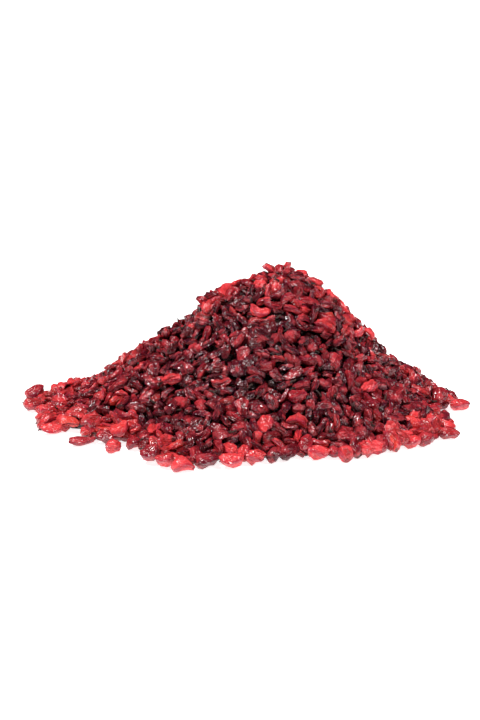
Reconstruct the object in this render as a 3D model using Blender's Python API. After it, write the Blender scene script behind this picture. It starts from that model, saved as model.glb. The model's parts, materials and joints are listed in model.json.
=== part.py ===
"""A heap of dried barberries, poured out on a table, as one fused solid.

Units are metres, +Z is up. +X is to the right and -Y to the front of the heap. The origin is
on the table, under the middle of the heap's box. The core is a flat-bottomed bed whose top has
a ridge for each berry that lies in it, and the berries that stand proud of the bed, or ring its
foot, are fused on at their true size with few sides.
"""

import math
import random

import bmesh
import bpy
from mathutils import Matrix, Vector
from mathutils.geometry import delaunay_2d_cdt

# The heap, measured over its outermost berries.
FOOT_HALF_WIDTH = 0.0830
FOOT_HALF_DEPTH = 0.0590
FOOT_Y = -0.0075
CREST_HEIGHT = 0.0475
CREST_X = 0.0125
CREST_Y = 0.0005
CREST_ROUNDING = 0.13
SIDE_FLANK_POWER = 1.64
FRONT_FLANK_POWER = 1.30
BERRY_LAYER = 0.0038

# Lumps that the pouring left on the flanks: x, y, height, radius.
MOUNDS = (
    (-0.0125, -0.0025, 0.0050, 0.0085),
    (-0.0325, 0.0000, 0.0038, 0.0140),
    (-0.0585, 0.0000, 0.0036, 0.0140),
    (-0.0450, 0.0000, 0.0025, 0.0080),
    (0.0380, 0.0000, 0.0045, 0.0160),
    (0.0630, 0.0020, 0.0030, 0.0090),
    (0.0050, -0.0280, 0.0030, 0.0150),
    (-0.0150, 0.0300, 0.0030, 0.0160),
)

# Bays in the foot's outline: direction in degrees, depth as a share of the radius, half-angle.
# A depth under 0 is a tongue that runs out past the plain oval.
BAYS = (
    (148.0, 0.130, 24.0),
    (26.0, 0.100, 26.0),
    (-11.0, 0.160, 8.0),
    (-78.0, 0.090, 9.0),
    (-104.0, -0.050, 8.0),
    (-124.0, 0.180, 7.0),
    (-146.0, 0.070, 6.0),
    (-170.0, 0.070, 7.0),
)

# One dried berry.
BERRY_LENGTH = 0.0074
BERRY_WIDTH = 0.0046
BERRY_THICKNESS = 0.0031
SIZE_SPREAD = 0.14
BERRY_SIDES = 5
BERRY_SEGMENTS = 3
SKIN_UNEVENNESS = 0.12

# The bed. Its ridges and the gaps between them lie this far under the heap's outer level.
BED_BERRY_COUNT = 470
BED_SHARE = 0.925
BED_EDGE_SHARE = 0.945
BED_EDGE_POINTS = 84
BED_EDGE_HEIGHT = 0.0010
RIDGE_LENGTH = 0.0042
RIDGE_DEPTH = 0.0007
RIDGE_SPREAD = 0.0006
GAP_DEPTH = 0.0026
GAP_SPREAD = 0.0006

# Berries that stand proud of the bed.
PROUD_BERRY_COUNT = 62
PROUD_SHARE = 0.92
PROUD_DEPTH = 0.0007
PROUD_SPREAD = 0.0005
USUAL_TILT = 20.0
STEEP_TILT = 55.0
STEEP_SHARE = 0.12

# Berries that ring the foot.
RIM_BERRY_COUNT = 66
RIM_SHARE = 0.962
RIM_SPREAD = 0.012

# Berries that the heap's outline shows: x, y, height of the middle, heading, tilt in degrees.
MARKED_BERRIES = (
    (0.0095, -0.0010, 0.0480, 150.0, 40.0),
    (0.0145, 0.0005, 0.0485, 60.0, 50.0),
    (0.0200, 0.0000, 0.0470, 15.0, 10.0),
    (-0.0125, -0.0035, 0.0395, 100.0, 40.0),
    (0.0445, -0.0005, 0.0265, 40.0, 35.0),
    (0.0740, -0.0040, 0.0022, -35.0, 8.0),
    (0.0790, -0.0074, 0.0016, 12.0, 0.0),
    (-0.0795, 0.0000, 0.0045, 65.0, 22.0),
    (-0.0795, -0.0070, 0.0018, 5.0, 4.0),
    (-0.0560, -0.0468, 0.0013, -8.0, 0.0),
)

TABLE_CLEARANCE = 0.0001
GOLDEN_ANGLE = math.pi * (3 - math.sqrt(5))
SEED = 7

SKIN_COLOUR = (0.30, 0.018, 0.026, 1.0)
SKIN_ROUGHNESS = 0.42

HEAP_NAME = "barberry_heap"


def clear_scene():
    for obj in list(bpy.data.objects):
        bpy.data.objects.remove(obj, do_unlink=True)


def new_collection(name):
    collection = bpy.data.collections.new(name)
    bpy.context.scene.collection.children.link(collection)
    return collection


def skin_material():
    material = bpy.data.materials.new("dried_berry_skin")
    material.use_nodes = True
    shader = material.node_tree.nodes["Principled BSDF"]
    shader.inputs["Base Color"].default_value = SKIN_COLOUR
    shader.inputs["Roughness"].default_value = SKIN_ROUGHNESS
    shader.inputs["Metallic"].default_value = 0.0
    return material


def on_round_foot(x, y):
    """The place when the foot's oval is drawn in to a circle of radius 1."""
    return Vector((x / FOOT_HALF_WIDTH, (y - FOOT_Y) / FOOT_HALF_DEPTH))


def foot_scale(direction):
    """How far the foot reaches in this direction, as a share of the plain oval."""
    scale = 1.0
    for centre, depth, half_angle in BAYS:
        off = (math.degrees(direction) - centre + 180.0) % 360.0 - 180.0
        scale -= depth * math.exp(-((off / half_angle) ** 2))
    return scale


def share_from_crest(x, y):
    """0 at the crest and 1 on the foot's outline. The bays fade out up the flanks."""
    crest = on_round_foot(CREST_X, CREST_Y)
    place = on_round_foot(x, y)
    away = place - crest
    if away.length < 1e-9:
        return 0.0
    along = crest.dot(away.normalized())
    reach = -along + math.sqrt(along**2 + 1.0 - crest.length_squared)
    plain = away.length / reach
    scale = foot_scale(math.atan2(place.y, place.x))
    return plain / (1.0 + (scale - 1.0) * min(plain / scale, 1.0) ** 2)


def flank_power(x, y):
    """The flanks are hollow to the sides, and straighter to the front and back."""
    away = Vector((x - CREST_X, y - CREST_Y))
    sideways = (away.x / max(away.length, 1e-9)) ** 2
    return FRONT_FLANK_POWER + (SIDE_FLANK_POWER - FRONT_FLANK_POWER) * sideways


def outer_level(x, y):
    """Height of the heap's outermost berries over the table."""
    share = min(share_from_crest(x, y), 1.0)
    lowest = math.hypot(1.0, CREST_ROUNDING)
    fall = (lowest - math.hypot(share, CREST_ROUNDING)) / (lowest - CREST_ROUNDING)
    level = CREST_HEIGHT * fall ** flank_power(x, y)
    for mound_x, mound_y, rise, radius in MOUNDS:
        off = math.hypot(x - mound_x, y - mound_y) / radius
        level += rise * math.exp(-(off**2)) * min(1.0, 4.0 * (1.0 - share))
    return level + BERRY_LAYER


def slope_normal(x, y, step=0.002):
    """Outward direction of the heap's surface."""
    rise_x = (outer_level(x + step, y) - outer_level(x - step, y)) / (2 * step)
    rise_y = (outer_level(x, y + step) - outer_level(x, y - step)) / (2 * step)
    return Vector((-rise_x, -rise_y, 1.0)).normalized()


def place_on_foot(share, direction):
    """The point at this share of the way out from the crest, in this direction of the foot."""
    reach = foot_scale(direction)
    outline = Vector(
        (
            reach * FOOT_HALF_WIDTH * math.cos(direction),
            reach * FOOT_HALF_DEPTH * math.sin(direction) + FOOT_Y,
        )
    )
    return Vector((CREST_X, CREST_Y)).lerp(outline, share)


def spread_evenly(count, share, turn=0.0):
    """Places like a sunflower's seeds, from the crest out to this share of the foot."""
    for number in range(count):
        out = share * math.sqrt((number + 0.5) / count)
        yield place_on_foot(out, number * GOLDEN_ANGLE + turn)


def under_surface(spot, depth):
    """The height this deep under the heap's outer level, measured square to the slope."""
    level = outer_level(spot.x, spot.y) - depth / slope_normal(spot.x, spot.y).z
    return max(level, BED_EDGE_HEIGHT)


def bed_points(draw):
    """The bed's points in plan with their heights: ridge ends, gaps, and the edge."""
    middles = list(spread_evenly(BED_BERRY_COUNT, BED_SHARE))
    points = []
    for middle in middles:
        heading = draw.uniform(0.0, math.tau)
        half = Vector((math.cos(heading), math.sin(heading))) * RIDGE_LENGTH / 2
        depth = RIDGE_DEPTH + draw.uniform(-RIDGE_SPREAD, RIDGE_SPREAD)
        points += [(end, under_surface(end, depth)) for end in (middle - half, middle + half)]
    triangles = delaunay_2d_cdt(middles, [], [], 0, 1e-6)[2]
    for corners in triangles:
        gap = sum((middles[corner] for corner in corners), Vector((0.0, 0.0))) / len(corners)
        depth = GAP_DEPTH + draw.uniform(-GAP_SPREAD, GAP_SPREAD)
        points.append((gap, under_surface(gap, depth)))
    for number in range(BED_EDGE_POINTS):
        spot = place_on_foot(BED_EDGE_SHARE, number * math.tau / BED_EDGE_POINTS)
        points.append((spot, BED_EDGE_HEIGHT))
    return points


def make_bed(material, draw):
    """Spans the bed's points with triangles and closes the sheet down to the table."""
    points = bed_points(draw)
    edge = list(range(len(points) - BED_EDGE_POINTS, len(points)))
    spots = [spot for spot, level in points]
    corners, _, triangles, sources, _, _ = delaunay_2d_cdt(spots, [], [edge], 1, 1e-6)
    shape = bmesh.new()
    verts = [
        shape.verts.new((spot.x, spot.y, points[source[0]][1]))
        for spot, source in zip(corners, sources)
    ]
    for triangle in triangles:
        shape.faces.new([verts[corner] for corner in triangle])
    unused = [vert for vert in shape.verts if not vert.link_faces]
    bmesh.ops.delete(shape, geom=unused, context="VERTS")
    rim = [side for side in shape.edges if side.is_boundary]
    wall = bmesh.ops.extrude_edge_only(shape, edges=rim)["geom"]
    for vert in (item for item in wall if isinstance(item, bmesh.types.BMVert)):
        vert.co.z = 0.0
    bmesh.ops.contextual_create(shape, geom=[side for side in shape.edges if side.is_boundary])
    bmesh.ops.recalc_face_normals(shape, faces=shape.faces[:])
    mesh = bpy.data.meshes.new(HEAP_NAME)
    shape.to_mesh(mesh)
    shape.free()
    mesh.materials.append(material)
    return bpy.data.objects.new(HEAP_NAME, mesh)


def make_berry(name, draw):
    """An oblong berry with ridges along it and pointed ends, lying along X."""
    size = [
        side * (1.0 + draw.uniform(-SIZE_SPREAD, SIZE_SPREAD))
        for side in (BERRY_LENGTH, BERRY_WIDTH, BERRY_THICKNESS)
    ]
    mesh = bpy.data.meshes.new(name)
    shape = bmesh.new()
    bmesh.ops.create_uvsphere(
        shape,
        u_segments=BERRY_SIDES,
        v_segments=BERRY_SEGMENTS,
        radius=0.5,
        matrix=Matrix.Rotation(math.pi / 2, 4, "Y"),
    )
    for vert in shape.verts:
        uneven = 1.0 + draw.uniform(-SKIN_UNEVENNESS, SKIN_UNEVENNESS)
        vert.co = Vector((vert.co.x * size[0], vert.co.y * size[1], vert.co.z * size[2])) * uneven
    shape.to_mesh(mesh)
    shape.free()
    return bpy.data.objects.new(name, mesh)


def lay(berry, middle, up, heading, tilt):
    """Puts a berry's middle in place, flat side along up, turned to heading, one end raised."""
    sideways = up.cross(Vector((math.cos(heading), math.sin(heading), 0.0))).normalized()
    forward = sideways.cross(up)
    upright = Matrix((forward, sideways, up)).transposed().to_4x4()
    berry.matrix_world = Matrix.Translation(middle) @ upright @ Matrix.Rotation(-tilt, 4, "Y")
    lowest = min((berry.matrix_world @ vert.co).z for vert in berry.data.vertices)
    berry.matrix_world.translation.z += max(0.0, TABLE_CLEARANCE - lowest)


def lay_proud_berries(collection, draw):
    for number, spot in enumerate(spread_evenly(PROUD_BERRY_COUNT, PROUD_SHARE, turn=1.0)):
        berry = make_berry(f"proud_berry_{number:03d}", draw)
        collection.objects.link(berry)
        up = slope_normal(spot.x, spot.y)
        depth = PROUD_DEPTH + draw.uniform(-PROUD_SPREAD, PROUD_SPREAD)
        middle = Vector((spot.x, spot.y, outer_level(spot.x, spot.y))) - up * depth
        steep = draw.random() < STEEP_SHARE
        tilt = STEEP_TILT if steep else draw.uniform(0.0, USUAL_TILT)
        lay(berry, middle, up, draw.uniform(0.0, math.tau), math.radians(tilt))


def lay_rim_berries(collection, draw):
    for number in range(RIM_BERRY_COUNT):
        berry = make_berry(f"rim_berry_{number:02d}", draw)
        collection.objects.link(berry)
        share = RIM_SHARE + draw.uniform(-RIM_SPREAD, RIM_SPREAD)
        spot = place_on_foot(share, number * math.tau / RIM_BERRY_COUNT)
        middle = Vector((spot.x, spot.y, BERRY_THICKNESS / 2))
        tilt = math.radians(draw.uniform(0.0, USUAL_TILT))
        lay(berry, middle, Vector((0.0, 0.0, 1.0)), draw.uniform(0.0, math.tau), tilt)


def lay_marked_berries(collection, draw):
    for number, (x, y, height, heading, tilt) in enumerate(MARKED_BERRIES):
        berry = make_berry(f"marked_berry_{number}", draw)
        collection.objects.link(berry)
        up = Vector((0.0, 0.0, 1.0))
        lay(berry, Vector((x, y, height)), up, math.radians(heading), math.radians(tilt))


def fuse(bed, berries):
    """Joins the berries to the bed, and removes them."""
    join = bed.modifiers.new("fuse_berries", "BOOLEAN")
    join.operation = "UNION"
    join.operand_type = "COLLECTION"
    join.collection = berries
    join.solver = "MANIFOLD"
    bpy.context.view_layer.update()
    graph = bpy.context.evaluated_depsgraph_get()
    fused = bpy.data.meshes.new_from_object(bed.evaluated_get(graph))
    bed.modifiers.remove(join)
    bed.data = fused
    for berry in list(berries.objects):
        bpy.data.objects.remove(berry, do_unlink=True)


def keep_largest_shell(mesh):
    """Drops the sealed hollows and loose scraps that the joining leaves."""
    shape = bmesh.new()
    shape.from_mesh(mesh)
    unseen = set(shape.faces)
    shells = []
    while unseen:
        shell = [unseen.pop()]
        for face in shell:
            seams = [side for side in face.edges if side.is_manifold]
            near = {other for side in seams for other in side.link_faces} & unseen
            shell.extend(near)
            unseen -= near
        shells.append(shell)
    shells.sort(key=len)
    spare = [face for shell in shells[:-1] for face in shell]
    bmesh.ops.delete(shape, geom=spare, context="FACES")
    shape.to_mesh(mesh)
    shape.free()


def centre_on_foot(obj):
    """Puts the middle of the heap's box over the origin."""
    xs = [vert.co.x for vert in obj.data.vertices]
    ys = [vert.co.y for vert in obj.data.vertices]
    middle = Vector(((min(xs) + max(xs)) / 2, (min(ys) + max(ys)) / 2, 0.0))
    obj.data.transform(Matrix.Translation(-middle))


def main():
    clear_scene()
    heap = new_collection("dried_barberry_heap")
    berries = new_collection("berries_to_fuse")
    draw = random.Random(SEED)
    bed = make_bed(skin_material(), draw)
    heap.objects.link(bed)
    lay_proud_berries(berries, draw)
    lay_rim_berries(berries, draw)
    lay_marked_berries(berries, draw)
    fuse(bed, berries)
    keep_largest_shell(bed.data)
    centre_on_foot(bed)
    bpy.data.collections.remove(berries)


main()
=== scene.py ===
"""Dresses a poured heap of dried barberries, and sets its table, light and camera.

Units are metres, +Z is up, and the heap is seen from -Y. The heap's outer level is a formula.
Three layers of berries are laid just under it, pushed apart until they only touch, and set out
by one Geometry Nodes tree over a core that is dark with painted shade. Each kind of berry becomes
one plain mesh.
"""

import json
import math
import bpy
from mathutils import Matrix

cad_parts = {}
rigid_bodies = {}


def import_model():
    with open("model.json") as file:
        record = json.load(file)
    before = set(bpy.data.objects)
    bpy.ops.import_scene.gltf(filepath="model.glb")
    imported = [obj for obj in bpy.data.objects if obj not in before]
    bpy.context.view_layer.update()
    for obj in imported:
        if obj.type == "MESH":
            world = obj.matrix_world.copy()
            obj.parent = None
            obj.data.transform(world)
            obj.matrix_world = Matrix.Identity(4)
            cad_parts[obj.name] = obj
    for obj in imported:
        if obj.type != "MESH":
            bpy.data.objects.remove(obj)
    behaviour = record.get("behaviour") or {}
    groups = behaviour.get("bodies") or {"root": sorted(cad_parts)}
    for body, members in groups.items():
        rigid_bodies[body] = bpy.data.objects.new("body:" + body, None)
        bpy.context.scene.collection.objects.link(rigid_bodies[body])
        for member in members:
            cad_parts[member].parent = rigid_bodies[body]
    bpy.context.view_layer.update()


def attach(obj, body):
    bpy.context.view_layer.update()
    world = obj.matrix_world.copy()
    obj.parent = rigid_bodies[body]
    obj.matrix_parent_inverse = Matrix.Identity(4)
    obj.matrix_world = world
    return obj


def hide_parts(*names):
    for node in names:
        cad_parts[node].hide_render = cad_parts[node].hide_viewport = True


bl_info = {
    "name": "Dried Barberry Heap",
    "version": (1, 0, 0),
    "blender": (4, 5, 0),
    "location": "View3D > Sidebar > Barberries",
    "description": "A heap of dried barberries on a white table, with its light and camera",
    "category": "Object",
}

import bmesh
import bpy
import numpy as np
from bpy.props import FloatProperty, FloatVectorProperty, IntProperty, PointerProperty
from bpy.types import Operator, Panel, PropertyGroup
from mathutils import Matrix, Vector, noise

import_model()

HEAP_NODE = "barberry_heap"
BODY = "root"

# The heap's own lumps, as shares of its half width: x, y, height, radius.
MOUNDS = (
    (-0.150, 0.071, 0.060, 0.102),
    (-0.392, 0.101, 0.046, 0.169),
    (-0.820, 0.101, 0.046, 0.110),
    (-0.680, 0.101, -0.020, 0.070),
    (-0.560, 0.101, 0.026, 0.060),
    (-0.240, 0.101, -0.030, 0.060),
    (0.440, 0.101, 0.058, 0.160),
    (0.610, 0.101, -0.020, 0.050),
    (0.759, 0.125, 0.036, 0.108),
    (0.060, -0.236, 0.036, 0.181),
    (-0.181, 0.463, 0.036, 0.193),
)

# Bays in the foot's outline: direction in degrees, depth as a share of the radius, half-angle.
# A depth under 0 is a tongue that runs out past the plain oval.
BAYS = (
    (148.0, 0.130, 24.0),
    (26.0, 0.100, 26.0),
    (-9.0, 0.165, 12.0),
    (-78.0, 0.090, 9.0),
    (-104.0, -0.050, 8.0),
    (-126.0, 0.185, 8.0),
    (-146.0, 0.170, 6.0),
    (-170.0, 0.070, 7.0),
)

# Berries listed one by one, in mm and degrees: kind, x, y, z, heading, tilt, length, width, stalk.
# A heading of 0 points to +X, and a tilt over 0 lifts the berry's front end.
PLACED_BERRIES = (
    ("scarlet", 77.5, 0.0, 1.9, 12, 0, 7.6, 4.6, False),
    ("garnet", 75.5, 10.0, 2.2, -60, -35, 5.0, 4.2, True),
    ("crimson", -77.5, 9.5, 3.2, 25, 30, 8.2, 5.6, True),
    ("scarlet", -76.5, 0.0, 2.1, 0, 4, 8.0, 5.0, False),
    ("scarlet", -70.5, -15.5, 2.6, 50, 10, 6.2, 4.4, True),
    ("scarlet", -67.0, -24.5, 1.8, 4, 0, 8.4, 4.0, True),
    ("crimson", -62.0, -17.0, 2.2, 10, 5, 5.8, 4.2, False),
    ("crimson", -55.0, -36.0, 1.6, 6, 3, 9.8, 3.2, False),
    ("scarlet", -44.0, -42.0, 1.8, 80, 0, 5.8, 5.0, False),
    ("crimson", -37.5, -39.5, 2.0, 10, 5, 6.0, 4.4, False),
    ("scarlet", -42.5, -34.0, 5.0, 40, 20, 7.6, 5.0, False),
    ("crimson", -31.5, -52.0, 3.0, 20, 15, 7.0, 5.4, False),
    ("scarlet", -26.5, -56.0, 2.1, 0, 5, 6.6, 4.6, False),
    ("scarlet", -20.5, -60.0, 1.9, -3, 0, 8.0, 4.8, False),
    ("garnet", -13.0, -57.0, 2.3, 20, 5, 8.2, 5.4, False),
    ("scarlet", -5.0, -56.5, 2.2, -10, 3, 8.6, 5.2, False),
    ("scarlet", 2.5, -53.0, 2.3, 15, 5, 7.4, 5.0, False),
    ("garnet", 9.0, -51.0, 2.6, 70, 10, 7.4, 4.8, False),
    ("garnet", 14.0, -49.5, 2.8, 40, 15, 7.6, 5.2, False),
    ("scarlet", 23.5, -48.5, 2.1, 0, 0, 8.2, 5.0, False),
    ("scarlet", 32.5, -49.5, 2.2, 80, 5, 7.2, 4.8, False),
    ("scarlet", 37.5, -45.5, 2.8, 30, 10, 7.0, 4.6, False),
    ("crimson", 44.0, -43.0, 2.8, 60, 20, 7.8, 5.2, False),
    ("scarlet", 49.5, -35.5, 3.2, 88, 25, 7.8, 4.0, False),
    ("scarlet", 54.5, -39.0, 2.1, 0, 0, 7.6, 4.8, False),
    ("crimson", 60.5, -36.5, 2.4, 50, 10, 7.0, 5.0, False),
    ("scarlet", 67.5, -25.0, 3.4, -32, -10, 9.4, 4.8, False),
    ("crimson", 69.0, -30.0, 1.8, -10, 0, 7.6, 4.4, False),
    ("scarlet", 62.0, -2.5, 8.8, -30, -20, 8.4, 4.0, False),
    ("crimson", 69.5, 1.0, 5.0, 60, 30, 7.6, 5.6, False),
    ("scarlet", 27.5, -8.5, 34.8, -12, -18, 8.6, 5.4, False),
    ("scarlet", 44.0, 3.0, 28.2, -60, -25, 6.0, 4.2, False),
    ("plum", 48.0, 4.0, 22.0, -30, -30, 6.4, 4.6, False),
    ("scarlet", -25.5, -20.0, 18.8, 10, 5, 8.0, 4.6, False),
    ("scarlet", 9.0, 7.0, 50.6, 180, 52, 7.0, 3.6, False),
    ("scarlet", 14.0, 8.0, 50.6, 15, 58, 6.6, 3.8, False),
    ("scarlet", 18.5, 7.5, 48.2, 10, 12, 8.0, 5.2, True),
    ("scarlet", 24.0, 7.0, 46.4, -15, -20, 7.6, 4.6, False),
    ("crimson", -15.0, 3.0, 40.0, 200, 40, 6.6, 4.4, True),
    ("scarlet", -13.5, 1.0, 38.9, 100, 25, 6.8, 5.0, False),
    ("scarlet", 4.5, -10.0, 39.6, -25, -10, 8.2, 4.6, False),
    ("crimson", 17.0, -34.0, 16.8, 0, 10, 7.2, 6.0, False),
    ("scarlet", 6.0, -42.5, 10.2, 80, 30, 7.8, 5.0, False),
    ("scarlet", 16.5, -40.0, 10.9, -15, 5, 8.6, 5.2, False),
    ("scarlet", 42.0, -22.0, 16.4, 20, 20, 6.8, 5.2, False),
    ("crimson", 51.5, -19.0, 12.7, 85, 30, 8.4, 5.0, False),
)

KINDS = ("scarlet", "crimson", "garnet", "plum")

GOLDEN_ANGLE = math.pi * (3 - math.sqrt(5))

# Two faces of a skin that meet at more than this show a sharp ridge.
RIDGE_ANGLE = math.radians(42.0)

# Where the two lights stand. Both face the origin.
KEY_PLACE = (-0.30, -0.12, 0.75)
FILL_PLACE = (0.45, -0.40, 0.45)
FILL_SIZE = 0.30

# The table's half side, and how far its top lies under the heap's underside.
TABLE_HALF = 60.0
TABLE_DROP = 0.0002


class HeapShape(PropertyGroup):
    """The heap's form, measured over its outermost berries."""

    half_width: FloatProperty(
        name="Half width",
        description="From the middle of the foot to its left or right end",
        default=0.0830,
        unit="LENGTH",
    )
    half_depth: FloatProperty(
        name="Half depth",
        description="From the middle of the foot to its front or back",
        default=0.0590,
        unit="LENGTH",
    )
    crest_height: FloatProperty(
        name="Crest height",
        description="Height of the crest over the lowest layer of berries",
        default=0.0475,
        unit="LENGTH",
    )
    layer: FloatProperty(
        name="Berry layer",
        description="Height of a single layer of berries on the table",
        default=0.0038,
        unit="LENGTH",
    )
    crest_x: FloatProperty(
        name="Crest X",
        description="How far the crest stands to the right of the foot's middle",
        default=0.0125,
        unit="LENGTH",
    )
    crest_y: FloatProperty(
        name="Crest Y",
        description="How far the crest stands behind the foot's middle",
        default=0.0080,
        unit="LENGTH",
    )
    foot_y: FloatProperty(
        name="Foot Y",
        description="Place of the foot's middle behind the origin",
        default=0.0009,
        unit="LENGTH",
    )
    rounding: FloatProperty(
        name="Crest rounding",
        description="How blunt the crest is, as a share of the flank's length",
        default=0.13,
        min=0.01,
    )
    side_power: FloatProperty(
        name="Side hollow",
        description="How hollow the left and right flanks are. 1 is straight",
        default=1.64,
    )
    front_power: FloatProperty(
        name="Front hollow",
        description="How hollow the front and back flanks are. 1 is straight",
        default=1.30,
    )
    core_depth: FloatProperty(
        name="Core depth",
        description="How deep the dark core lies under the outermost berries",
        default=0.0085,
        unit="LENGTH",
    )


class BerryShape(PropertyGroup):
    """One dried berry, and how many lie in the heap."""

    length: FloatProperty(
        name="Length",
        description="Usual length of a dried berry",
        default=0.0069,
        unit="LENGTH",
    )
    width: FloatProperty(
        name="Width",
        description="Usual width of a dried berry",
        default=0.0038,
        unit="LENGTH",
    )
    thickness: FloatProperty(
        name="Thickness",
        description="Usual thickness of a dried berry, which lies flat",
        default=0.0026,
        unit="LENGTH",
    )
    spread: FloatProperty(
        name="Size spread",
        description="How far one berry's size strays from the usual, as a share",
        default=0.22,
        min=0.0,
        max=0.4,
    )
    shapes: IntProperty(
        name="Shapes",
        description="How many different berries there are to pick from",
        default=25,
        min=2,
    )
    plump_shapes: IntProperty(
        name="Plump shapes",
        description="How many of them are the plump berries of the foot",
        default=7,
        min=1,
    )
    top_count: IntProperty(
        name="Top layer",
        description="Berries in the layer that shows",
        default=1040,
        min=1,
    )
    lower_count: IntProperty(
        name="Lower layers",
        description="Berries in each of the two layers under it",
        default=520,
        min=1,
    )
    rim_count: IntProperty(
        name="Foot row",
        description="Berries that lie on the table round the foot",
        default=84,
        min=1,
    )
    seed: IntProperty(name="Seed", description="Starts the random draws", default=11)


class SkinColours(PropertyGroup):
    """Colours of the four kinds of berry, of their painted glow, and of what is dark on them."""

    scarlet: FloatVectorProperty(
        name="Scarlet",
        description="Brightest skins",
        default=(0.78, 0.050, 0.058),
        size=3,
        subtype="COLOR",
    )
    crimson: FloatVectorProperty(
        name="Crimson",
        description="Usual skins",
        default=(0.37, 0.017, 0.028),
        size=3,
        subtype="COLOR",
    )
    garnet: FloatVectorProperty(
        name="Garnet",
        description="Deep red skins",
        default=(0.18, 0.008, 0.017),
        size=3,
        subtype="COLOR",
    )
    plum: FloatVectorProperty(
        name="Plum",
        description="Skins that dried nearly black",
        default=(0.120, 0.006, 0.015),
        size=3,
        subtype="COLOR",
    )
    # Painted glow: a colour that stands in for light shining through thin skin.
    glow: FloatVectorProperty(
        name="Glow",
        description="What every kind leans to where its skin is thin and light comes through",
        default=(0.88, 0.085, 0.100),
        size=3,
        subtype="COLOR",
    )
    tip: FloatVectorProperty(
        name="Tip",
        description="The dark disc at a berry's end, and the stalks",
        default=(0.020, 0.006, 0.005),
        size=3,
        subtype="COLOR",
    )
    roughness: FloatProperty(
        name="Roughness",
        description="Roughness of the skin between its wrinkles",
        default=0.34,
        min=0.0,
        max=1.0,
    )


class StageSetup(PropertyGroup):
    """The table, the light and the camera."""

    distance: FloatProperty(
        name="Camera distance",
        description="From the camera to the point it looks at",
        default=0.520,
        unit="LENGTH",
    )
    elevation: FloatProperty(
        name="Camera elevation",
        description="How far the camera looks down on the table",
        default=math.radians(17.0),
        subtype="ANGLE",
    )
    view_height: FloatProperty(
        name="View height",
        description="What the picture's long side spans at the point looked at",
        default=0.270,
        unit="LENGTH",
    )
    look_at: FloatVectorProperty(
        name="Look at",
        description="The point in the middle of the picture",
        default=(-0.0022, 0.0234, 0.0120),
        size=3,
        subtype="TRANSLATION",
        unit="LENGTH",
    )
    sky: FloatProperty(
        name="Room light",
        description="Strength of the even white light from all round",
        default=0.05,
        min=0.0,
    )
    key: FloatProperty(
        name="Key light",
        description="Strength of the wide light over the heap's left shoulder",
        default=3.5,
        min=0.0,
    )
    key_spread: FloatProperty(
        name="Key spread",
        description="How wide the key light looks from the heap, which softens its shadows",
        default=math.radians(14.0),
        subtype="ANGLE",
    )
    fill: FloatProperty(
        name="Fill light",
        description="Power of the softbox in front",
        default=2.0,
        min=0.0,
        subtype="POWER",
    )
    table_glow: FloatProperty(
        name="Table glow",
        description="How much the table shines by itself, so that it comes out white",
        default=0.85,
        min=0.0,
    )


class HeapForm:
    """The heap's outer level as a function of the place on the table, for arrays of places."""

    def __init__(self, shape):
        self.shape = shape
        self.radii = np.array((shape.half_width, shape.half_depth))
        self.middle = np.array((0.0, shape.foot_y))
        self.crest = np.array((shape.crest_x, shape.crest_y))

    def bay_scale(self, direction):
        """How far the foot reaches in this direction, as a share of the plain oval."""
        scale = np.ones_like(direction)
        for centre, depth, half_angle in BAYS:
            off = (np.degrees(direction) - centre + 180.0) % 360.0 - 180.0
            scale -= depth * np.exp(-((off / half_angle) ** 2))
        return scale

    def share(self, spots):
        """0 at the crest and 1 on the foot's outline. The bays fade out up the flanks."""
        crest = (self.crest - self.middle) / self.radii
        place = (spots - self.middle) / self.radii
        away = place - crest
        length = np.maximum(np.linalg.norm(away, axis=-1), 1e-9)
        along = (away @ crest) / length
        plain = length / (-along + np.sqrt(along**2 + 1.0 - crest @ crest))
        scale = self.bay_scale(np.arctan2(place[..., 1], place[..., 0]))
        return plain / (1.0 + (scale - 1.0) * np.minimum(plain / scale, 1.0) ** 2)

    def level(self, spots):
        """Height of the outermost berries over the table."""
        shape = self.shape
        share = np.minimum(self.share(spots), 1.0)
        lowest = math.hypot(1.0, shape.rounding)
        fall = (lowest - np.hypot(share, shape.rounding)) / (lowest - shape.rounding)
        away = spots - self.crest
        reach = np.maximum(np.linalg.norm(away, axis=-1), 1e-9)
        sideways = (away[..., 0] / reach) ** 2
        power = shape.front_power + (shape.side_power - shape.front_power) * sideways
        level = shape.crest_height * np.maximum(fall, 0.0) ** power
        at_foot = 4.0  # the mounds fade out over the last quarter of the way to the foot
        for x, y, rise, radius in MOUNDS:
            off = np.linalg.norm(spots - shape.half_width * np.array((x, y)), axis=-1)
            lump = rise * np.exp(-((off / radius / shape.half_width) ** 2))
            level += shape.half_width * lump * np.minimum(1.0, at_foot * (1.0 - share))
        return level + shape.layer

    def normal(self, spots, step=0.002):
        """Outward direction of the outer level."""
        across = np.array((step, 0.0))
        back = np.array((0.0, step))
        rise_x = (self.level(spots + across) - self.level(spots - across)) / (2 * step)
        rise_y = (self.level(spots + back) - self.level(spots - back)) / (2 * step)
        normal = np.stack((-rise_x, -rise_y, np.ones_like(rise_x)), axis=-1)
        return normal / np.linalg.norm(normal, axis=-1, keepdims=True)

    def place(self, share, direction):
        """The point at this share of the way out from the crest, in this direction."""
        reach = self.bay_scale(direction)[..., None]
        round_foot = np.stack((np.cos(direction), np.sin(direction)), axis=-1)
        outline = self.middle + reach * self.radii * round_foot
        return self.crest + (outline - self.crest) * share[..., None]

    def spread(self, count, share, turn):
        """Places spread evenly over the heap, like a sunflower's seeds."""
        number = np.arange(count)
        out = share * np.sqrt((number + 0.5) / count)
        return self.place(out, (number * GOLDEN_ANGLE + turn) % math.tau)


def heap_form():
    return HeapForm(bpy.context.scene.barberry_heap)


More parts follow.
